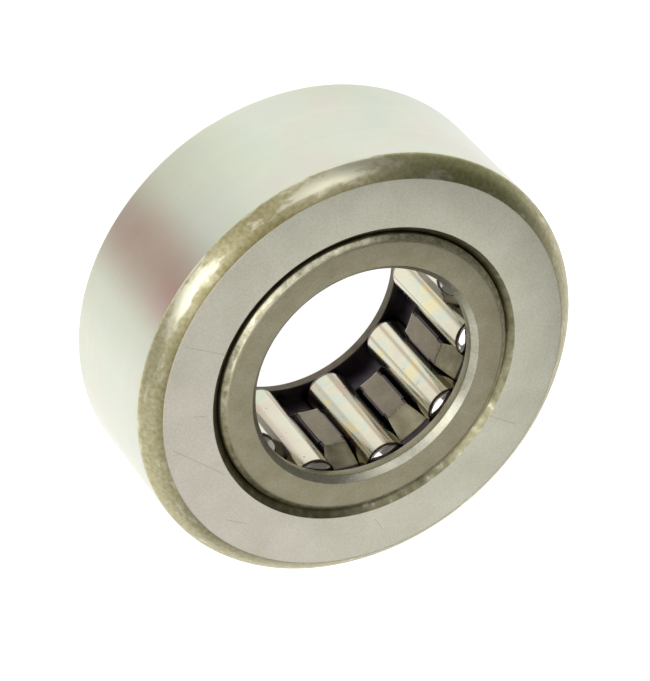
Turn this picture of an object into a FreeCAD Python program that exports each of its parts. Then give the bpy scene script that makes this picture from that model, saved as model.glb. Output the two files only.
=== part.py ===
"""Cam follower: a yoke-type track roller without an inner ring.

A thick outer ring rolls on a set of ten loose rollers held by a one-piece cage. The shaft that it
runs on passes straight through the rollers and isn't part of the object.

Frame, in millimetres: the axis of rotation is Z, the origin is the centre of the bore halfway
through the width, and +X goes through the middle of the first roller.
"""
import FreeCAD, Part

import math
import os

import Sketcher

# Driving dimensions. Radii are measured from the axis of rotation, and each "half" is a distance
# from the middle plane of the piece, because every piece is the same on both sides of it.
DIMENSIONS = {
    # outer ring
    "ring_radius": 15.0,
    "ring_half": 5.9,
    "ring_chamfer": 1.2,
    "tread_blend": 0.4,
    "raceway_radius": 10.01,
    "raceway_chamfer": 0.45,
    # rollers
    "pitch_radius": 8.5,
    "roller_radius": 1.5,
    "roller_half": 4.95,
    "dome_rise": 0.38,
    "roller_blend": 0.12,
    # cage: two end rims, joined by bars that step inwards to a land at mid-width
    "cage_radius": 9.92,
    "cage_half": 6.0,
    "rim_chamfer": 0.32,
    "bore_radius": 7.45,
    "bore_chamfer": 0.38,
    "shoulder_radius": 8.6,
    "shoulder_half": 3.3,
    "land_radius": 7.42,
    "land_half": 2.05,
    "back_half": 2.7,
    "waist_radius": 8.65,
    "waist_half": 1.3,
    "bend_blend": 0.25,
    # pockets in the cage, and the lips that keep the rollers in them
    "pocket_half": 5.0,
    "pocket_side": 1.55,
    "land_side": 1.56,
    "notch_side": 1.63,
    "notch_half": 1.45,
    "inner_lip_side": 1.47,
    "inner_lip_start": 7.52,
    "inner_lip_end": 7.85,
    "outer_lip_side": 1.42,
    "outer_lip_start": 9.3,
    "outer_lip_half": 3.4,
    "past_cage": 10.5,
}
ROLLERS = 10
AXIS = "0"


# ---------------------------------------------------------------- sheet and sums of its cells
def make_sheet(doc):
    """The spreadsheet of driving dimensions, one aliased cell for each."""
    sheet = doc.addObject("Spreadsheet::Sheet", "dims")
    for row, (name, value) in enumerate(DIMENSIONS.items(), start=1):
        sheet.set(f"A{row}", name)
        sheet.set(f"B{row}", str(value))
        sheet.setAlias(f"B{row}", name)
    doc.recompute()
    return sheet


def value_of(total):
    """The number that a sum such as "ring_radius - ring_chamfer" comes to."""
    result, sign = 0.0, 1
    for word in total.split():
        if word in ("+", "-"):
            sign = 1 if word == "+" else -1
        elif word != AXIS:
            result += sign * DIMENSIONS[word]
    return result


def cells_of(total):
    """The same sum, written with the spreadsheet's cells."""
    return " ".join(word if word in ("+", "-") else f"dims.{word}" for word in total.split())


def minus(total):
    """The sum with every sign turned."""
    if total == AXIS:
        return AXIS
    turned = [{"+": "-", "-": "+"}.get(word, word) for word in total.split()]
    return " ".join(turned if turned[0] in ("+", "-") else ["-"] + turned)


# ------------------------------------------------------------------------------- sketches
def both_ends(corners):
    """An outline whose upper half is given, closed by its mirror image below the middle plane."""
    return corners + [(across, minus(up)) for across, up in reversed(corners)]


def all_round(corners):
    """An outline whose upper right quarter is given, mirrored into the other three."""
    left = [(minus(across), up) for across, up in reversed(corners)]
    upper = corners + left
    return upper + [(minus(across), minus(up)) for across, up in upper]


def domed_edge(start, end):
    """Arc from start to end with its centre on the sketch's upright axis."""
    rise = abs(end.y - start.y)
    reach = abs(end.x - start.x)
    radius = (reach ** 2 + rise ** 2) / (2 * rise)
    side = 1 if start.y + end.y > 0 else -1
    centre_up = max(side * start.y, side * end.y) - radius
    middle_up = side * (centre_up + math.sqrt(radius ** 2 - (reach / 2) ** 2))
    return Part.Arc(start, FreeCAD.Vector(reach / 2, middle_up, 0), end)


def draw_outline(sketch, corners, domed=()):
    """A closed outline with each corner bound to the sheet; the edges in domed are arcs."""
    points = [FreeCAD.Vector(value_of(across), value_of(up), 0) for across, up in corners]
    for index, start in enumerate(points):
        end = points[(index + 1) % len(points)]
        edge = domed_edge(start, end) if index in domed else Part.LineSegment(start, end)
        sketch.addGeometry(edge, False)
    # an arc always runs anticlockwise, so its two end points may be the other way round
    tips = []
    for index, start in enumerate(points):
        first = sketch.getPoint(index, 1).isEqual(start, 1e-6)
        tips.append((1, 2) if first else (2, 1))
    for index, (across, up) in enumerate(corners):
        after = (index + 1) % len(corners)
        start_tip, end_tip = tips[index]
        sketch.addConstraint(Sketcher.Constraint("Coincident", index, end_tip, after, tips[after][0]))
        for kind, total in (("DistanceX", across), ("DistanceY", up)):
            row = sketch.addConstraint(Sketcher.Constraint(kind, index, start_tip, value_of(total)))
            if total != AXIS:
                sketch.setExpression(f"Constraints[{row}]", cells_of(total))
    for index in domed:
        sketch.addConstraint(Sketcher.Constraint("PointOnObject", index, 3, -2))


def origin_feature(body, role):
    """One of the body's own origin planes or axes."""
    return next(item for item in body.Origin.OriginFeatures if item.Role == role)


def add_sketch(body, name, role, corners, domed=(), offset=None):
    """An outline on one of the body's origin planes, or parallel to it at an offset."""
    sketch = body.newObject("Sketcher::SketchObject", name)
    sketch.AttachmentSupport = (origin_feature(body, role), [""])
    sketch.MapMode = "FlatFace"
    if offset:
        sketch.setExpression("AttachmentOffset.Base.z", cells_of(offset))
    draw_outline(sketch, corners, domed)
    body.Document.recompute()
    return sketch


# ------------------------------------------------------------------------------- features
def revolve(body, name, sketch):
    """The sketch turned once round the body's Z axis."""
    feature = body.newObject("PartDesign::Revolution", name)
    feature.Profile = sketch
    feature.ReferenceAxis = (origin_feature(body, "Z_Axis"), [""])
    feature.Angle = 360
    body.Document.recompute()
    return feature


def blend(body, name, base, radius, wanted):
    """Round the circular edges for which wanted(radius, height) is true."""
    edges = []
    for number, edge in enumerate(base.Shape.Edges, start=1):
        circle = None if edge.Degenerated else edge.Curve
        if isinstance(circle, Part.Circle) and wanted(circle.Radius, abs(circle.Center.z)):
            edges.append(f"Edge{number}")
    feature = body.newObject("PartDesign::Fillet", name)
    feature.Base = (base, edges)
    feature.Radius = DIMENSIONS[radius]
    feature.setExpression("Radius", cells_of(radius))
    body.Document.recompute()
    return feature


def near(first, second):
    """Whether two lengths are the same piece of geometry."""
    return abs(first - second) < 0.001


def new_body(doc, name):
    """An empty body whose label is the sub-part's name."""
    body = doc.addObject("PartDesign::Body", name)
    body.Label = name
    return body


# ------------------------------------------------------------------------------- sub-parts
def make_outer_ring(doc):
    """Thick-walled ring: ground tread outside, ground raceway inside, turned chamfers."""
    body = new_body(doc, "outer_ring")
    section = both_ends([
        ("raceway_radius", "ring_half - raceway_chamfer"),
        ("raceway_radius + raceway_chamfer", "ring_half"),
        ("ring_radius - ring_chamfer", "ring_half"),
        ("ring_radius", "ring_half - ring_chamfer"),
    ])
    turned = revolve(body, "ring_turned", add_sketch(body, "ring_section", "XZ_Plane", section))
    tread = value_of("ring_radius")
    blend(body, "tread_edges", turned, "tread_blend", lambda radius, height: near(radius, tread))
    return body


def make_roller(doc, number):
    """One roller with domed ends, standing at its place in the cage."""
    body = new_body(doc, f"roller_{number + 1:02d}")
    section = both_ends([
        ("roller_radius", "roller_half - dome_rise"),
        (AXIS, "roller_half"),
    ])
    sketch = add_sketch(body, f"roller_section_{number + 1:02d}", "XZ_Plane", section, domed=(0, 2))
    turned = revolve(body, f"roller_turned_{number + 1:02d}", sketch)
    side = value_of("roller_radius")
    blend(body, f"roller_edges_{number + 1:02d}", turned, "roller_blend",
          lambda radius, height: near(radius, side))
    angle = number * 360 / ROLLERS
    body.setExpression("Placement.Base.x", f"dims.pitch_radius * cos({angle} deg)")
    body.setExpression("Placement.Base.y", f"dims.pitch_radius * sin({angle} deg)")
    return body


def cut_pocket(body, name, corners, start, end):
    """Cut an outline through the wall on the +X side, from one radius out to another."""
    sketch = add_sketch(body, f"{name}_outline", "YZ_Plane", corners, offset=end)
    before = body.Shape.Volume
    feature = body.newObject("PartDesign::Pocket", name)
    feature.Profile = sketch
    feature.Length = value_of(end) - value_of(start)
    feature.setExpression("Length", f"{cells_of(end)} - {cells_of(start)}")
    body.Document.recompute()
    if not body.Shape.Volume < before - 0.01:
        raise RuntimeError(f"{name} cuts nothing")
    return feature


def make_cage(doc):
    """One-piece cage: two rims with inward flanges and ten bars, with a pocket for each roller."""
    body = new_body(doc, "cage")
    section = both_ends([
        ("land_radius", "land_half"),
        ("shoulder_radius", "shoulder_half"),
        ("shoulder_radius", "pocket_half"),
        ("bore_radius", "pocket_half"),
        ("bore_radius", "cage_half - bore_chamfer"),
        ("bore_radius + bore_chamfer", "cage_half"),
        ("cage_radius - rim_chamfer", "cage_half"),
        ("cage_radius", "cage_half - rim_chamfer"),
        ("cage_radius", "back_half"),
        ("waist_radius", "waist_half"),
    ])
    turned = revolve(body, "cage_turned", add_sketch(body, "cage_section", "XZ_Plane", section))
    bends = [("shoulder_radius", "shoulder_half"), ("cage_radius", "back_half"),
             ("waist_radius", "waist_half")]
    bends = [(value_of(across), value_of(up)) for across, up in bends]
    blend(body, "cage_bends", turned, "bend_blend",
          lambda radius, height: any(near(radius, r) and near(height, z) for r, z in bends))

    # the pocket itself, then its mouth towards the shaft and its mouth towards the raceway
    pocket = [("pocket_side", "pocket_half")]
    mouth = [("land_side", "notch_half"), ("notch_side", "notch_half"), ("notch_side", "land_half"),
             ("pocket_side", "land_half"), ("pocket_side", "pocket_half")]
    inner_lips = [("inner_lip_side", "notch_half"), ("pocket_side", "notch_half"),
                  ("pocket_side", "pocket_half")]
    outer_lips = [("pocket_side", "outer_lip_half"), ("outer_lip_side", "outer_lip_half"),
                  ("outer_lip_side", "pocket_half")]
    cuts = [
        cut_pocket(body, "pocket", all_round(pocket), "inner_lip_end", "outer_lip_start"),
        cut_pocket(body, "mouth", all_round(mouth), "roller_half", "inner_lip_start"),
        cut_pocket(body, "inner_lips", all_round(inner_lips), "inner_lip_start", "inner_lip_end"),
        cut_pocket(body, "outer_lips", all_round(outer_lips), "outer_lip_start", "past_cage"),
    ]
    ring_of_pockets = body.newObject("PartDesign::PolarPattern", "ring_of_pockets")
    ring_of_pockets.Originals = cuts
    ring_of_pockets.Axis = (origin_feature(body, "Z_Axis"), [""])
    ring_of_pockets.Angle = 360
    ring_of_pockets.Occurrences = ROLLERS
    body.Tip = ring_of_pockets
    return body


# ------------------------------------------------------------------------------- checks, files
def check_document(doc, bodies):
    """Stop if any object failed, or any sub-part isn't one valid solid."""
    for item in doc.Objects:
        if "Invalid" in item.State or "Error" in item.State:
            raise RuntimeError(f"{item.Name} failed: {item.State}")
    for body in bodies:
        shape = body.Shape
        if shape.isNull() or not shape.isValid() or len(shape.Solids) != 1:
            raise RuntimeError(f"{body.Label} isn't one valid solid")


def write_parts(bodies):
    """One STEP file for each sub-part, named after it."""
    os.makedirs("parts", exist_ok=True)
    for body in bodies:
        body.Shape.exportStep(f"parts/{body.Label}.step")
        print(f"{body.Label}: {body.Shape.Volume:.2f} mm3")


def main():
    doc = FreeCAD.newDocument("cam_follower")
    make_sheet(doc)
    bodies = [make_outer_ring(doc), make_cage(doc)]
    bodies += [make_roller(doc, number) for number in range(ROLLERS)]
    doc.recompute()
    check_document(doc, bodies)
    write_parts(bodies)


main()
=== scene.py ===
"""Looks of the cam follower: a track roller lying on a bright table, seen from above one face.

Every length is in metres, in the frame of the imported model: the axis of rotation is Z and the
middle of the width is the origin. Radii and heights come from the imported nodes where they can.
Every azimuth is in degrees and turns from -Y towards +X.
"""
import math

import bmesh
import bpy
from mathutils import Matrix, Vector


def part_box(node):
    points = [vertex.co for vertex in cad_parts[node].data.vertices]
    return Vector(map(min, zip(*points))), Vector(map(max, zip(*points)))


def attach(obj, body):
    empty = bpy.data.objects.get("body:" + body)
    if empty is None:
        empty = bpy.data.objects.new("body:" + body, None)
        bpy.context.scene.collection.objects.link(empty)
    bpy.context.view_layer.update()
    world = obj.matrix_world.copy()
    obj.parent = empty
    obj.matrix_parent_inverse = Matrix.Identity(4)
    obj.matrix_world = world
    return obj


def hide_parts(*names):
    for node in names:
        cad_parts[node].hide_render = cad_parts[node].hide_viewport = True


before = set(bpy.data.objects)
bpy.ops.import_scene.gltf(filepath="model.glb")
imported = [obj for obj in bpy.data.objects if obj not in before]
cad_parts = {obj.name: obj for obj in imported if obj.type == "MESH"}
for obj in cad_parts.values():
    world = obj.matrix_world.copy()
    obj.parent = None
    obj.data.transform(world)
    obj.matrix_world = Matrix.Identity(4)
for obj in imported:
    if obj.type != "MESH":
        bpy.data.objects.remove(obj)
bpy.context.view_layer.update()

MM = 0.001
WHITE = (1, 1, 1)

# ---------------------------------------------------------------- sizes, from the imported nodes
_, RING_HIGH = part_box("outer_ring")
CAGE_LOW, CAGE_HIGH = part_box("cage")
ROLLER_LOW, ROLLER_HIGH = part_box("roller_01")
RING_RADIUS, RING_HALF = RING_HIGH.x, RING_HIGH.z
CAGE_RADIUS, CAGE_HALF = CAGE_HIGH.x, CAGE_HIGH.z
ROLLER_RADIUS, ROLLER_HALF = (ROLLER_HIGH.y - ROLLER_LOW.y) / 2, ROLLER_HIGH.z
PITCH_RADIUS = (ROLLER_LOW.x + ROLLER_HIGH.x) / 2
ROLLERS = [name for name in sorted(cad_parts) if name.startswith("roller_")]
SPACING = 2 * math.pi / len(ROLLERS)

# ring: its chamfers, and the blends at the corners of its outline
RING_CHAMFER = 1.2 * MM
CHAMFER_CROWN = 0.07 * MM
ROLLER_GAP = 0.01 * MM
RACEWAY_RADIUS = PITCH_RADIUS + ROLLER_RADIUS + ROLLER_GAP
RACEWAY_CHAMFER = 0.45 * MM
RACEWAY_BLEND = 0.06 * MM
FACE_INNER_BLEND = 0.05 * MM
FACE_OUTER_BLEND = 0.15 * MM
CROWN_BLEND = 3.0 * MM
TREAD_BLEND = 0.6 * MM

# rims of the cage, and the blends at the corners of their outline
BORE_RADIUS = 7.45 * MM
BORE_CHAMFER = 0.38 * MM
RIM_CHAMFER = 0.32 * MM
POCKET_HALF = 5.0 * MM
RIM_SMALL_BLEND = 0.05 * MM
RIM_BORE_BLEND = 0.08 * MM
RIM_OUTER_BLEND = 0.2 * MM
RIM_FACE_BLEND = 0.45 * MM

# pockets and bars of the cage; a pair is a height above the middle plane and a radius
POCKET_SIDE = 1.55 * MM
POCKET_CORNER = 0.3 * MM
BACK_INSET = 0.01 * MM
SHOULDER = (3.3 * MM, 8.6 * MM)
LAND = (2.05 * MM, 7.42 * MM)
BACK = (2.7 * MM, CAGE_RADIUS - BACK_INSET)
WAIST = (1.3 * MM, 8.65 * MM)
LAND_SIDE = 1.56 * MM
NOTCH_SIDE = 1.63 * MM
NOTCH_HALF = 1.45 * MM
INNER_LIP_SIDE = 1.47 * MM
INNER_LIP_RADII = (7.52 * MM, 7.85 * MM)
OUTER_LIP_SIDE = 1.42 * MM
OUTER_LIP_RADIUS = 9.3 * MM
OUTER_LIP_HALF = 3.4 * MM
BAR_BEND = 0.25 * MM
BAR_EDGE = 0.06 * MM
BAR_OVERLAP = 0.15 * MM
LIP_STEP = 0.01 * MM
# half width of the strip at the land's edge that is worn bright and painted as a highlight line
WORN_AND_HIGHLIGHT_HALF = 0.04 * MM

# rollers: the blend starts ROLLER_BLEND below the dome, and is BLEND_SHARE of that wide
DOME_RISE = 0.38 * MM
ROLLER_BLEND = 0.20 * MM
BLEND_SHARE = 0.6

# fineness of the meshes: WELD and STATION_APART are the least distances between points of a
# piece and between the stations of a bar
WELD = 0.0005 * MM
RING_SEGMENTS = 256
ROLLER_SEGMENTS = 96
DOME_STEPS = 10
STATION_DIGITS = 7
STATION_APART = 1e-7

# strips to each side of a bar's middle that belong to its inner face
INNER_STRIPS = 5

# materials of the ring's and the cage's surfaces, in the order of their slots; RACEWAY, RECESS and
# SHADED are painted shade
TREAD, CHAMFER, FACE, RACEWAY, RACEWAY_EDGE = range(5)
RIM, WORN_EDGE_AND_HIGHLIGHT, PRESSED, RECESS, SLOPE, SHADED, BORE_EDGE = range(7)

# scratches on the ring's side face: radius, azimuth, heading from +X, length
SCRATCH_HALF = 0.035 * MM
SCRATCH_STRENGTH = 0.38
SCRATCHES = [
    (13.4 * MM, 32, 120, 2.9 * MM),
    (11.7 * MM, 55, 135, 0.9 * MM),
    (13.3 * MM, 64, 107, 4.5 * MM),
    (10.3 * MM, -156, 114, 2.4 * MM),
    (12.6 * MM, 96, 118, 1.6 * MM),
    (11.2 * MM, 150, 85, 1.2 * MM),
]

# stretches of the ring's chamfer that are worn bright and carry a painted highlight: azimuth,
# reach, strength
WORN_AND_HIGHLIGHT_STRETCHES = [
    (21, 28, 0.23),
    (-26, 24, 0.24),
]

# camera: its aim, the way it looks and how far it is turned about its own line of sight
AIM = Vector((0.494, 0.394, 0.340)) * MM
ELEVATION = math.radians(49.18)
ROLL = math.radians(138.75)
DISTANCE = 245.7 * MM
LENS = 204.8

# lights: azimuth, elevation, distance, size, radiance and the point each one faces
CENTRE = (0, 0, 0)
LIGHTS = {
    "key": (30, 38, 0.35, 0.17, 2.2, CENTRE),
    "front": (-3, 42, 0.45, 0.70, 0.72, CENTRE),
    "side": (98, 20, 0.50, 0.50, 0.85, CENTRE),
    "top": (98, 72, 0.40, 0.28, 1.9, CENTRE),
    "streak": (-47, 36, 0.45, 0.14, 1.4, CENTRE),
    "low_back": (200, 22, 0.60, 0.45, 0.25, CENTRE),
    "back": (180, 49.2, 0.14, 0.08, 1.10, (0.016, 0.018, 0.006)),
}

# table
FLOOR_REACH = 1.5
FLOOR_GAP = 0.02 * MM


# ---------------------------------------------------------------- shader nodes
def new_material(name):
    """An empty node material and its principled shader."""
    material = bpy.data.materials.new(name)
    material.use_nodes = True
    return material, material.node_tree, material.node_tree.nodes["Principled BSDF"]


def node(tree, kind, settings=None, **inputs):
    """A shader node; an input takes a value or another node's output.

    An input is given by its name, or by its number after an underscore.
    """
    made = tree.nodes.new(kind)
    for name, value in (settings or {}).items():
        setattr(made, name, value)
    for name, value in inputs.items():
        numbered = name[0] == "_" and name[1:].isdigit()
        key = int(name[1:]) if numbered else name.replace("_", " ")
        if isinstance(value, bpy.types.NodeSocket):
            tree.links.new(value, made.inputs[key])
        else:
            made.inputs[key].default_value = value
    return made


def math_node(tree, operation, *values):
    """The result of a math node."""
    inputs = {f"_{index}": value for index, value in enumerate(values)}
    return node(tree, "ShaderNodeMath", {"operation": operation}, **inputs).outputs[0]


def vector_node(tree, operation, first, second=None):
    """A vector math node of one or two vectors."""
    inputs = {"_0": first} if second is None else {"_0": first, "_1": second}
    return node(tree, "ShaderNodeVectorMath", {"operation": operation}, **inputs)


def place_node(tree):
    """Object coordinates, which move with the piece."""
    return node(tree, "ShaderNodeTexCoord").outputs["Object"]


def stretched(tree, scale, offset=(0, 0, 0)):
    """Object coordinates, each axis multiplied by its own scale."""
    place = place_node(tree)
    return node(tree, "ShaderNodeMapping", Vector=place, Scale=scale, Location=offset).outputs[0]


def noise(tree, vector, scale=1.0, detail=4.0, roughness=0.5):
    """A noise texture's grey value."""
    return node(tree, "ShaderNodeTexNoise", Vector=vector, Scale=scale, Detail=detail,
                Roughness=roughness).outputs["Fac"]


def grain(tree, scale, detail=3.0, roughness=0.5, offset=(0, 0, 0)):
    """Noise with no direction, its scale in features per metre."""
    return noise(tree, stretched(tree, (1, 1, 1), offset), scale, detail, roughness)


def ramp(tree, fac, *stops):
    """A colour ramp's colour; each stop is a position and a grey value or a colour."""
    made = node(tree, "ShaderNodeValToRGB", Fac=fac)
    elements = made.color_ramp.elements
    while len(elements) < len(stops):
        elements.new(0.5)
    for element, (position, colour) in zip(elements, stops):
        element.position = position
        is_grey = isinstance(colour, (int, float))
        element.color = (colour,) * 3 + (1,) if is_grey else (*colour, 1)
    return made.outputs["Color"]


def mix(tree, fac, first, second, blend="MIX"):
    """Two colours mixed."""
    made = node(tree, "ShaderNodeMix", {"data_type": "RGBA", "blend_type": blend})
    sockets = (made.inputs[0], made.inputs[6], made.inputs[7])
    for socket, value in zip(sockets, (fac, first, second)):
        if isinstance(value, bpy.types.NodeSocket):
            tree.links.new(value, socket)
        else:
            socket.default_value = value if isinstance(value, (int, float)) else (*value, 1)
    return made.outputs[2]


def tinted(tree, colour, tint):
    """A colour multiplied by another."""
    return mix(tree, 1.0, colour, tint, "MULTIPLY")


def polar(tree):
    """The radius from the axis and the unit direction away from it."""
    across = vector_node(tree, "MULTIPLY", place_node(tree), (1, 1, 0)).outputs[0]
    radius = vector_node(tree, "LENGTH", across).outputs["Value"]
    return radius, vector_node(tree, "NORMALIZE", across).outputs[0]


def towards(tree, azimuth, reach):
    """A soft bell round the axis: 1 at an azimuth, 0 at reach degrees to either side of it."""
    turn = math.radians(azimuth)
    way = (math.sin(turn), -math.cos(turn), 0)
    facing = vector_node(tree, "DOT_PRODUCT", polar(tree)[1], way).outputs["Value"]
    faded = node(tree, "ShaderNodeMapRange", Value=facing, From_Min=math.cos(math.radians(reach)),
                 From_Max=1.0).outputs[0]
    return math_node(tree, "POWER", faded, 2.0)


def tinted_towards(tree, colour, azimuth, reach, tint):
    """A colour multiplied by a tint inside a soft bell round the axis."""
    return tinted(tree, colour, mix(tree, towards(tree, azimuth, reach), WHITE, tint))


def scratch(tree, radius, azimuth, heading, length):
    """1 on a thin straight scratch across a side face, 0 away from it."""
    turn = math.radians(azimuth)
    start = (radius * math.sin(turn), -radius * math.cos(turn), 0)
    local = node(tree, "ShaderNodeMapping", {"vector_type": "TEXTURE"}, Vector=place_node(tree),
                 Location=start, Rotation=(0, 0, math.radians(heading)),
                 Scale=(length, SCRATCH_HALF, 1)).outputs[0]
    split = node(tree, "ShaderNodeSeparateXYZ", Vector=local)
    on_length = math_node(tree, "COMPARE", split.outputs["X"], 0.5, 0.5)
    off_line = math_node(tree, "ABSOLUTE", split.outputs["Y"])
    on_line = node(tree, "ShaderNodeMapRange", Value=off_line, From_Min=1.0,
                   From_Max=0.3).outputs[0]
    return math_node(tree, "MULTIPLY", on_length, on_line)


def set_metal(tree, shader, colour, roughness):
    """A metal's colour, and its roughness as a value or another node's output."""
    tree.links.new(colour, shader.inputs["Base Color"])
    shader.inputs["Metallic"].default_value = 1.0
    if isinstance(roughness, bpy.types.NodeSocket):
        tree.links.new(roughness, shader.inputs["Roughness"])
    else:
        shader.inputs["Roughness"].default_value = roughness


def set_bump(tree, shader, height, strength, distance):
    """Bump from a grey value."""
    bump = node(tree, "ShaderNodeBump", Height=height, Strength=strength, Distance=distance)
    tree.links.new(bump.outputs[0], shader.inputs["Normal"])


# ---------------------------------------------------------------- materials
def ground_face():
    """Finely ground side face of the ring: fine grain, faint stains and a few thin scratches."""
    material, tree, shader = new_material("ring_ground_face")
    fine = grain(tree, 7500.0, detail=2.0)
    stains = grain(tree, 330.0)
    colour = ramp(tree, stains, (0.3, (0.59, 0.58, 0.465)), (0.7, (0.675, 0.66, 0.545)))
    colour = tinted(tree, colour, ramp(tree, fine, (0.3, 0.84), (0.7, 1.0)))
    colour = tinted_towards(tree, colour, azimuth=80, reach=120, tint=(1.02, 0.98, 1.03))
    marks = scratch(tree, *SCRATCHES[0])
    for mark in SCRATCHES[1:]:
        marks = math_node(tree, "MAXIMUM", marks, scratch(tree, *mark))
    marks = math_node(tree, "MULTIPLY", marks, SCRATCH_STRENGTH)
    colour = mix(tree, marks, colour, (0.14, 0.12, 0.09))
    set_metal(tree, shader, colour, ramp(tree, fine, (0.2, 0.36), (0.8, 0.44)))
    set_bump(tree, shader, fine, strength=0.2, distance=0.01 * MM)
    return material


def ground_tread():
    """Ground rolling surface: fine lines round it, a faint colour film, and darker with a soft
    pinkish-brown patch round azimuth 16 to 20.
    """
    material, tree, shader = new_material("ring_ground_tread")
    lines = noise(tree, stretched(tree, (40, 40, 24000)), detail=1.0)
    clouds = grain(tree, 150.0)
    film = ramp(tree, grain(tree, 240.0), (0.36, (1.0, 0.955, 0.975)),
                (0.5, (0.985, 1.0, 0.98)), (0.64, (0.955, 0.99, 1.0)))
    colour = ramp(tree, clouds, (0.3, (0.53, 0.555, 0.465)), (0.7, (0.575, 0.575, 0.505)))
    colour = tinted(tree, colour, ramp(tree, lines, (0.3, 0.95), (0.7, 1.0)))
    colour = tinted(tree, colour, film)
    # darker round azimuth 16, with a patchy pinkish-brown tint round azimuth 20
    colour = tinted_towards(tree, colour, azimuth=16, reach=36, tint=(0.71, 0.70, 0.68))
    cloudy = ramp(tree, clouds, (0.3, 0.65), (0.6, 1.0))
    patchy = math_node(tree, "MULTIPLY", towards(tree, azimuth=20, reach=16), cloudy)
    colour = tinted(tree, colour, mix(tree, patchy, WHITE, (0.70, 0.50, 0.49)))
    set_metal(tree, shader, colour, 0.3)
    shader.inputs["Anisotropic"].default_value = 0.6
    round_axis = node(tree, "ShaderNodeTangent", {"direction_type": "RADIAL", "axis": "Z"})
    tree.links.new(round_axis.outputs[0], shader.inputs["Tangent"])
    return material


def scaled_chamfer():
    """Chamfer of the ring under olive-brown heat-treatment scale, worn bright in stretches where
    the colour is also a painted highlight, with painted shade in other stretches.
    """
    material, tree, shader = new_material("ring_scaled_chamfer")
    across = node(tree, "ShaderNodeMapRange", Value=polar(tree)[0],
                  From_Min=RING_RADIUS - RING_CHAMFER, From_Max=RING_RADIUS).outputs[0]
    patches = noise(tree, stretched(tree, (420, 420, 1500)), detail=5.0, roughness=0.6)
    fine = grain(tree, 3600.0)

    # worn bright in stretches, and there the lighter colour is also a painted highlight
    bells = [math_node(tree, "MULTIPLY", towards(tree, azimuth, reach), strength)
             for azimuth, reach, strength in WORN_AND_HIGHLIGHT_STRETCHES]
    outward = ramp(tree, across, (0.0, 0.0), (0.3, 0.3), (0.5, 1.0))
    wear_and_highlight = math_node(tree, "MULTIPLY", math_node(tree, "ADD", *bells), outward)
    worn_and_highlight = ramp(tree, math_node(tree, "ADD", patches, wear_and_highlight), (0.59, 0.0), (0.70, 1.0))

    scale = ramp(tree, fine, (0.3, (0.355, 0.33, 0.18)), (0.7, (0.515, 0.475, 0.315)))
    # painted shade: the scale is darker round azimuth -66 and round azimuth -4
    scale = tinted_towards(tree, scale, azimuth=-66, reach=38, tint=(0.61, 0.65, 0.50))
    scale = tinted_towards(tree, scale, azimuth=-4, reach=15, tint=(0.80, 0.77, 0.68))
    colour = mix(tree, worn_and_highlight, scale, (0.64, 0.62, 0.475))
    # painted shade: darker towards the chamfer's inner edge on the side round azimuth 20
    inner = ramp(tree, across, (0.0, (0.50, 0.47, 0.36)), (0.45, 1.0))
    colour = mix(tree, towards(tree, azimuth=20, reach=110), colour, tinted(tree, colour, inner))
    set_metal(tree, shader, colour, ramp(tree, worn_and_highlight, (0.0, 0.42), (1.0, 0.33)))
    set_bump(tree, shader, patches, strength=0.3, distance=0.05 * MM)
    return material


def brown_edge():
    """Chamfer of the raceway: brown scale with small bright spots, and a painted highlight on one
    side.
    """
    material, tree, shader = new_material("ring_raceway_edge")
    spots = grain(tree, 1400.0, detail=4.0, roughness=0.6)
    colour = ramp(tree, spots, (0.35, (0.155, 0.145, 0.085)), (0.62, (0.27, 0.255, 0.16)),
                  (0.76, (0.60, 0.575, 0.44)))
    # painted highlight: brighter round azimuth -152
    colour = tinted_towards(tree, colour, azimuth=-152, reach=42, tint=(1.7, 1.7, 1.75))
    set_metal(tree, shader, colour, 0.4)
    set_bump(tree, shader, spots, strength=0.3, distance=0.03 * MM)
    return material


def painted_shade_dark(name):
    """Near-black steel drawn as painted shade in the recesses between the moving pieces."""
    material, tree, shader = new_material(name)
    film = grain(tree, 900.0, detail=4.0)
    colour = ramp(tree, film, (0.3, (0.045, 0.036, 0.048)), (0.7, (0.085, 0.072, 0.080)))
    set_metal(tree, shader, colour, ramp(tree, film, (0.3, 0.26), (0.7, 0.4)))
    return material


def tumbled_steel(name, dark, light, roughness, mottles=800.0, grit=(6500, 6500, 6500),
                  painted_shade=None):
    """Tumbled grey-olive steel: soft mottling over fine grain, and any painted shade towards +X.

    Mottles and grit are in features per metre; grit has one value for each axis.
    """
    material, tree, shader = new_material(name)
    mottle = grain(tree, mottles, detail=4.0, roughness=0.6)
    fine = noise(tree, stretched(tree, grit), detail=2.0)
    colour = ramp(tree, mottle, (0.3, dark), (0.7, light))
    colour = tinted(tree, colour, ramp(tree, fine, (0.3, 0.78), (0.7, 1.0)))
    # painted shade: darker round azimuth 82
    if painted_shade:
        colour = tinted_towards(tree, colour, azimuth=82, reach=62, tint=painted_shade)
    smooth, rough = roughness - 0.05, roughness + 0.05
    set_metal(tree, shader, colour, ramp(tree, fine, (0.3, smooth), (0.7, rough)))
    set_bump(tree, shader, mottle, strength=0.3, distance=0.03 * MM)
    return material


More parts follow.
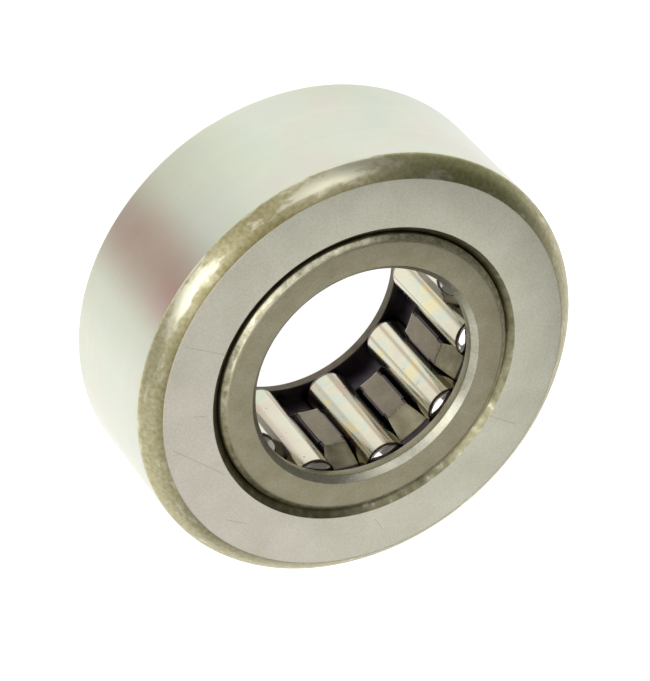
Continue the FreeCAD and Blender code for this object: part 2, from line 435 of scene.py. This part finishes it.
def polished_roller():
    """Polished roller: faint dark streaks along it that are painted reflections, small pits, an
    oil film's faint colours.
    """
    material, tree, shader = new_material("roller_polished")
    normal = node(tree, "ShaderNodeTexCoord").outputs["Normal"]
    round_it = node(tree, "ShaderNodeMapping", Vector=normal, Scale=(1.0, 1.0, 0)).outputs[0]
    place = vector_node(tree, "ADD", round_it, stretched(tree, (110, 110, 8))).outputs[0]
    reflection_streaks = noise(tree, place, detail=1.0)
    film = grain(tree, 430.0, detail=2.0)
    spots = grain(tree, 2600.0, detail=1.0, offset=(0.2, 0, 0))
    colour = ramp(tree, film, (0.3, (0.655, 0.60, 0.51)), (0.45, (0.675, 0.65, 0.51)),
                  (0.56, (0.59, 0.64, 0.56)), (0.66, (0.71, 0.66, 0.43)))
    # painted reflection: thin dark lines along the roller, following the way its surface faces
    lines = ramp(tree, reflection_streaks, (0.44, 1.0), (0.52, (0.66, 0.56, 0.52)), (0.60, 1.0))
    colour = tinted(tree, colour, lines)
    pits = math_node(tree, "MULTIPLY", ramp(tree, spots, (0.74, 0.0), (0.78, 1.0)), 0.4)
    colour = mix(tree, pits, colour, (0.1, 0.08, 0.06))
    set_metal(tree, shader, colour, 0.19)
    return material


def polished_end(name, dark, light, roughness):
    """Smooth steel with a trace of oil for a roller's end; in dark colours, the painted dark
    reflection on the blend beside it.
    """
    material, tree, shader = new_material(name)
    film = grain(tree, 700.0, detail=2.0)
    set_metal(tree, shader, ramp(tree, film, (0.3, dark), (0.7, light)), roughness)
    return material


# ---------------------------------------------------------------- meshes
def rounded(corners, closed=True, steps=4):
    """An outline of (radius, height, blend, part) corners with each corner rounded.

    Gives (radius, height, part) points; part is the material of the edge that starts there.
    """
    points = []
    count = len(corners)
    for index, (across, up, blend, part) in enumerate(corners):
        here = Vector((across, up))
        if blend == 0 or (not closed and index in (0, count - 1)):
            points.append((across, up, part))
            continue
        before, after = corners[index - 1], corners[(index + 1) % count]
        back = (Vector(before[:2]) - here).normalized()
        ahead = (Vector(after[:2]) - here).normalized()
        half = back.angle(ahead) / 2
        centre = here + (back + ahead).normalized() * (blend / math.sin(half))
        start = here + back * (blend / math.tan(half)) - centre
        turn = start.angle_signed(here + ahead * (blend / math.tan(half)) - centre)
        for step in range(steps + 1):
            angle = -turn * step / steps
            x = centre.x + start.x * math.cos(angle) - start.y * math.sin(angle)
            y = centre.y + start.x * math.sin(angle) + start.y * math.cos(angle)
            points.append((x, y, before[3] if step < steps / 2 else part))
    return points


def build(name, verts, faces, parts, materials, body, nodes, sharp=40):
    """A mesh object that stands for CAD nodes and rides on their body.

    Points closer than WELD become one, and every face looks outwards.
    """
    mesh = bpy.data.meshes.new(name)
    mesh.from_pydata(verts, [], faces)
    for material in materials:
        mesh.materials.append(material)
    mesh.polygons.foreach_set("material_index", parts)
    mesh.polygons.foreach_set("use_smooth", [True] * len(mesh.polygons))
    shell = bmesh.new()
    shell.from_mesh(mesh)
    bmesh.ops.remove_doubles(shell, verts=shell.verts, dist=WELD)
    bmesh.ops.dissolve_degenerate(shell, edges=shell.edges, dist=WELD)
    bmesh.ops.recalc_face_normals(shell, faces=shell.faces)
    shell.to_mesh(mesh)
    shell.free()
    mesh.set_sharp_from_angle(angle=math.radians(sharp))
    piece = bpy.data.objects.new(name, mesh)
    bpy.context.scene.collection.objects.link(piece)
    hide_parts(*nodes)
    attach(piece, body)


def turned(points, segments, centre=(0, 0), closed=True, first=0):
    """Vertices, faces and parts of an outline turned about an upright axis.

    The faces count their vertices from first.
    """
    verts, faces, parts = [], [], []
    for step in range(segments):
        angle = 2 * math.pi * step / segments
        for across, up, _ in points:
            x = centre[0] + across * math.cos(angle)
            y = centre[1] + across * math.sin(angle)
            verts.append((x, y, up))
    count = len(points)
    for step in range(segments):
        here, there = step * count, (step + 1) % segments * count
        for index in range(count if closed else count - 1):
            after = (index + 1) % count
            faces.append((first + here + index, first + there + index,
                          first + there + after, first + here + after))
            parts.append(points[index][2])
    return verts, faces, parts


def make_ring():
    """The outer ring, with its ground, turned and raceway surfaces in materials of their own."""
    upper = [
        (RACEWAY_RADIUS, RING_HALF - RACEWAY_CHAMFER, RACEWAY_BLEND, RACEWAY_EDGE),
        (RACEWAY_RADIUS + RACEWAY_CHAMFER, RING_HALF, FACE_INNER_BLEND, FACE),
        (RING_RADIUS - RING_CHAMFER, RING_HALF, FACE_OUTER_BLEND, CHAMFER),
        (RING_RADIUS - RING_CHAMFER / 2 + CHAMFER_CROWN,
         RING_HALF - RING_CHAMFER / 2 + CHAMFER_CROWN, CROWN_BLEND, CHAMFER),
        (RING_RADIUS, RING_HALF - RING_CHAMFER, TREAD_BLEND, TREAD),
    ]
    starts = (RACEWAY, RACEWAY_EDGE, FACE, CHAMFER, CHAMFER)
    lower = [(across, -up, blend, part)
             for (across, up, blend, _), part in zip(upper, starts)]
    verts, faces, parts = turned(rounded(upper + lower[::-1]), RING_SEGMENTS)
    materials = [
        ground_tread(),
        scaled_chamfer(),
        ground_face(),
        # the raceway is drawn near-black as painted shade
        painted_shade_dark("ring_raceway"),
        brown_edge(),
    ]
    build("outer_ring_ground", verts, faces, parts, materials, "outer_ring",
          ["outer_ring"])


def roller_outline():
    """A roller's (radius, height, part) points from its lower pole to its upper one."""
    side, end, blend = range(3)
    dome_radius = (ROLLER_RADIUS ** 2 + DOME_RISE ** 2) / (2 * DOME_RISE)
    dome_reach = ROLLER_RADIUS - BLEND_SHARE * ROLLER_BLEND
    half_turn = math.asin(dome_reach / dome_radius)
    dome = []
    for step in range(1, DOME_STEPS + 1):
        angle = half_turn * step / DOME_STEPS
        up = ROLLER_HALF - dome_radius * (1 - math.cos(angle))
        dome.append((dome_radius * math.sin(angle), up))
    side_up = ROLLER_HALF - DOME_RISE - ROLLER_BLEND
    rise = dome[-1][1] - side_up
    corner = []
    for degrees in (60, 40, 20, 0):
        angle = math.radians(degrees)
        across = ROLLER_RADIUS - ROLLER_BLEND * (1 - math.cos(angle)) * BLEND_SHARE
        corner.append((across, side_up + rise * math.sin(angle)))
    upper = [(0, ROLLER_HALF)] + dome + corner
    lower = [(across, -up) for across, up in upper]
    parts = [end] * len(dome) + [blend] * len(corner) + [side]
    parts += [blend] * len(corner) + [end] * (len(dome) + 1)
    return [(across, up, part) for (across, up), part in zip(lower + upper[::-1], parts)]


def make_rollers():
    """The rollers: a polished side, a brighter domed end and a blend between them painted dark as
    a reflection.
    """
    materials = [
        polished_roller(),
        polished_end("roller_end_polished", dark=(0.72, 0.69, 0.62), light=(0.82, 0.80, 0.74),
                     roughness=0.1),
        # painted reflection: the blend is drawn dark
        polished_end("roller_blend_painted_dark_reflection", dark=(0.10, 0.08, 0.07), light=(0.18, 0.15, 0.13),
                     roughness=0.2),
    ]
    outline = roller_outline()
    for index, name in enumerate(ROLLERS):
        angle = index * SPACING
        centre = (PITCH_RADIUS * math.cos(angle), PITCH_RADIUS * math.sin(angle))
        verts, faces, parts = turned(outline, ROLLER_SEGMENTS, centre, closed=False)
        build(f"{name}_polished", verts, faces, parts, materials, name, [name],
              sharp=60)


def along(points, height):
    """The radius of an outline, given as (height, radius) points in order, at a height."""
    for (low, start), (high, end) in zip(points, points[1:]):
        if low <= height <= high:
            share = 0 if high == low else (height - low) / (high - low)
            return start + (end - start) * share
    return points[-1][1]


def mirrored(points):
    """A (height, radius) outline for the whole width, from the half above the middle plane."""
    smooth = rounded([(up, radius, BAR_BEND, 0) for up, radius in points], closed=False)
    half = [(up, radius) for up, radius, _ in smooth]
    return [(-up, radius) for up, radius in half[::-1]] + half


def side_of_pocket(radius, height):
    """How far the pocket's wall stands from the middle of the pocket."""
    up = abs(height)
    side = POCKET_SIDE
    if radius < INNER_LIP_RADII[0]:
        if up < NOTCH_HALF:
            side = LAND_SIDE
        elif up < LAND[0]:
            side = NOTCH_SIDE
    elif radius < INNER_LIP_RADII[1] and up < NOTCH_HALF:
        side = INNER_LIP_SIDE
    elif radius > OUTER_LIP_RADIUS and up > OUTER_LIP_HALF:
        side = OUTER_LIP_SIDE
    into_corner = up - (POCKET_HALF - POCKET_CORNER)
    if into_corner > 0:
        reach = min(into_corner / POCKET_CORNER, 1)
        side -= POCKET_CORNER * (1 - math.sqrt(1 - reach ** 2))
    return side


def half_section(inner, outer, height):
    """Half of a bar's cross-section, as (radius, distance from the bar's middle) points.

    It runs from the middle of the inner face, over the pocket's wall, to that of the outer face.
    """
    lean = SPACING / 2
    bends = [math.radians(degrees) for degrees in (30, 60, 90)]
    inside = [BAR_EDGE * (1 - math.cos(angle)) for angle in bends]
    pulled = [BAR_EDGE * (1 - math.sin(angle)) for angle in bends]
    steps = [lip + side for lip in (*INNER_LIP_RADII, OUTER_LIP_RADIUS)
             for side in (-LIP_STEP, LIP_STEP)]

    def half_width(radius):
        return (radius * math.sin(lean) - side_of_pocket(radius, height)) / math.cos(lean)

    near, far = half_width(inner) - BAR_EDGE, half_width(outer) - BAR_EDGE
    section = [(inner, near * share) for share in (0, 0.33, 0.66)] + [(inner, near)]
    section += [(inner + up, half_width(inner + up) - back) for up, back in zip(inside, pulled)]
    low, high = inner + BAR_EDGE * 1.2, outer - BAR_EDGE * 1.2
    for radius in steps:
        kept = min(max(radius, low), high)
        section.append((kept, half_width(kept)))
    section += [(outer - up, half_width(outer - up) - back)
                for up, back in zip(inside[::-1], pulled[::-1])]
    section.append((outer, far))
    section += [(outer, far * share) for share in (0.66, 0.33, 0)]
    return section


def bar_stations(inner, outer):
    """The heights of a bar's cross-sections, in order."""
    stations = {up for up, _ in inner + outer}
    for up in (NOTCH_HALF, LAND[0], OUTER_LIP_HALF):
        stations |= {up - LIP_STEP, up + LIP_STEP, -up - LIP_STEP, -up + LIP_STEP}
    for share in (0, 0.3, 0.5, 0.7, 0.85, 0.95, 1):
        up = POCKET_HALF - POCKET_CORNER * (1 - share)
        stations |= {up, -up}
    stations = sorted(round(up, STATION_DIGITS) for up in stations)
    return [up for up, before in zip(stations, [-1] + stations) if up - before > STATION_APART]


def bar_part(strip, strips, height):
    """The material of one of the strips round a bar, at a height; strip 0 is on the inner face."""
    up = abs(height)
    # the bar's sides and outer face, and its inner face beyond the shoulder, are drawn in painted
    # shade
    if min(strip, strips - 1 - strip) >= INNER_STRIPS or up > SHOULDER[0]:
        return RECESS
    # a thin strip at the land's edge: worn bright, and a painted highlight line
    if abs(up - LAND[0]) < WORN_AND_HIGHLIGHT_HALF:
        return WORN_EDGE_AND_HIGHLIGHT
    return PRESSED if up < LAND[0] else SLOPE


def make_bars(first):
    """Vertices, faces and parts of the bars; the faces count their vertices from first."""
    bar_end = POCKET_HALF + BAR_OVERLAP
    inner = mirrored([(0, LAND[1]), LAND, SHOULDER, (bar_end, SHOULDER[1])])
    outer = mirrored([(0, WAIST[1]), WAIST, BACK, (bar_end, BACK[1])])
    stations = bar_stations(inner, outer)
    loops = []
    for up in stations:
        half = half_section(along(inner, up), along(outer, up), up)
        loops.append(half + [(radius, -across) for radius, across in half[-2:0:-1]])
    count = len(loops[0])
    verts, faces, parts = [], [], []
    for bar in range(len(ROLLERS)):
        middle = (bar + 0.5) * SPACING
        out = Vector((math.cos(middle), math.sin(middle)))
        side = Vector((-out.y, out.x))
        rings = []
        for up, loop in zip(stations, loops):
            rings.append(first + len(verts))
            for radius, across in loop:
                reach = math.sqrt(radius ** 2 - across ** 2)
                place = out * reach + side * across
                verts.append((place.x, place.y, up))
        for end in (rings[0], rings[-1]):
            faces.append(tuple(range(end, end + count)))
            parts.append(RECESS)
        for low, high, low_up, high_up in zip(rings, rings[1:], stations, stations[1:]):
            for index in range(count):
                after = (index + 1) % count
                faces.append((low + index, low + after, high + after, high + index))
                parts.append(bar_part(index, count, (low_up + high_up) / 2))
    return verts, faces, parts


def rim_outlines():
    """The (radius, height, part) outlines of the upper and the lower rim."""
    upper = rounded([
        (BORE_RADIUS, POCKET_HALF, RIM_SMALL_BLEND, RECESS),
        (CAGE_RADIUS, POCKET_HALF, RIM_SMALL_BLEND, SLOPE),
        (CAGE_RADIUS, CAGE_HALF - RIM_CHAMFER, RIM_OUTER_BLEND, WORN_EDGE_AND_HIGHLIGHT),
        (CAGE_RADIUS - RIM_CHAMFER, CAGE_HALF, RIM_FACE_BLEND, RIM),
        (BORE_RADIUS + BORE_CHAMFER, CAGE_HALF, RIM_SMALL_BLEND, BORE_EDGE),
        (BORE_RADIUS, CAGE_HALF - BORE_CHAMFER, RIM_BORE_BLEND, RIM),
    ])
    starts = [part for _, _, part in upper[-2::-1]] + [upper[-1][2]]
    # the lower rim is drawn in painted shade: the recess colour on its recess faces, the dark
    # SHADED material elsewhere
    lower = [(across, -up, RECESS if part == RECESS else SHADED)
             for (across, up, _), part in zip(upper[::-1], starts)]
    return upper, lower


def make_cage():
    """The cage: two turned rims and a swept bar between each two pockets."""
    verts, faces, parts = [], [], []
    for outline in rim_outlines():
        more = turned(outline, RING_SEGMENTS, first=len(verts))
        verts, faces, parts = verts + more[0], faces + more[1], parts + more[2]
    more = make_bars(len(verts))
    verts, faces, parts = verts + more[0], faces + more[1], parts + more[2]
    materials = [
        tumbled_steel("cage_tumbled", dark=(0.335, 0.305, 0.20), light=(0.405, 0.375, 0.265),
                      roughness=0.43),
        # edges worn bright, the light colour also a painted highlight, with painted shade towards
        # +X
        tumbled_steel("cage_worn_edge_and_highlight", dark=(0.30, 0.27, 0.165), light=(0.80, 0.775, 0.60),
                      roughness=0.36, mottles=1900.0, painted_shade=(0.46, 0.44, 0.34)),
        tumbled_steel("cage_pressed_land", dark=(0.215, 0.185, 0.135),
                      light=(0.29, 0.255, 0.195), roughness=0.44),
        # painted shade for the cage's recesses
        painted_shade_dark("cage_recess"),
        tumbled_steel("cage_formed_slope", dark=(0.22, 0.195, 0.125),
                      light=(0.37, 0.335, 0.23), roughness=0.43, grit=(1300, 1300, 9000)),
        # painted shade for the lower rim
        tumbled_steel("cage_painted_shade", dark=(0.10, 0.085, 0.06), light=(0.17, 0.145, 0.11),
                      roughness=0.42),
        tumbled_steel("cage_bore_edge", dark=(0.50, 0.485, 0.37), light=(0.64, 0.63, 0.52),
                      roughness=0.37),
    ]
    build("cage_tumbled_steel", verts, faces, parts, materials, "cage", ["cage"],
          sharp=30)


# ---------------------------------------------------------------- camera, light, floor
def add_camera():
    """A long lens that looks along +Y and down, turned about its line of sight."""
    data = bpy.data.cameras.new("camera")
    data.lens = LENS
    data.sensor_width = 36
    data.clip_start, data.clip_end = 0.01, 10
    level_up = Vector((0, math.sin(ELEVATION), math.cos(ELEVATION)))
    back = Vector((0, -math.cos(ELEVATION), math.sin(ELEVATION)))
    right = Vector((1, 0, 0)) * math.cos(ROLL) + level_up * math.sin(ROLL)
    up = back.cross(right)
    camera = bpy.data.objects.new("camera", data)
    camera.rotation_mode = "QUATERNION"
    camera.rotation_quaternion = Matrix((right, up, back)).transposed().to_quaternion()
    camera.location = AIM + back * DISTANCE
    bpy.context.scene.collection.objects.link(camera)
    bpy.context.scene.camera = camera


def add_floor():
    """A plain white table, lit from below like a light table."""
    up = CAGE_LOW.z - FLOOR_GAP
    corners = [(-1, -1), (1, -1), (1, 1), (-1, 1)]
    mesh = bpy.data.meshes.new("floor")
    mesh.from_pydata([(x * FLOOR_REACH, y * FLOOR_REACH, up) for x, y in corners], [],
                     [(0, 1, 2, 3)])
    material, _, shader = new_material("table_white")
    shader.inputs["Base Color"].default_value = (0.50, 0.50, 0.49, 1)
    shader.inputs["Roughness"].default_value = 0.6
    shader.inputs["Emission Color"].default_value = (1, 1, 0.99, 1)
    shader.inputs["Emission Strength"].default_value = 0.95
    mesh.materials.append(material)
    floor = bpy.data.objects.new("floor", mesh)
    bpy.context.scene.collection.objects.link(floor)


def add_light(name, azimuth, elevation, distance, size, radiance, aim):
    """A square soft light of an even radiance that faces a point."""
    data = bpy.data.lights.new(name, "AREA")
    data.size = size
    data.energy = radiance * math.pi * size ** 2
    turn, rise = math.radians(azimuth), math.radians(elevation)
    level = math.cos(rise)
    way = Vector((math.sin(turn) * level, -math.cos(turn) * level, math.sin(rise)))
    light = bpy.data.objects.new(name, data)
    light.location = Vector(aim) + way * distance
    light.rotation_mode = "QUATERNION"
    light.rotation_quaternion = way.to_track_quat("Z", "Y")
    bpy.context.scene.collection.objects.link(light)


def add_world():
    """Even pale surroundings."""
    world = bpy.data.worlds.new("studio")
    world.use_nodes = True
    background = world.node_tree.nodes["Background"]
    background.inputs["Color"].default_value = (1.0, 0.98, 0.94, 1)
    background.inputs["Strength"].default_value = 0.16
    bpy.context.scene.world = world


def main():
    """The whole scene."""
    add_camera()
    make_ring()
    make_cage()
    make_rollers()
    add_floor()
    add_world()
    for name, setup in LIGHTS.items():
        add_light(name, *setup)
    bpy.context.scene.view_settings.view_transform = "Standard"


main()
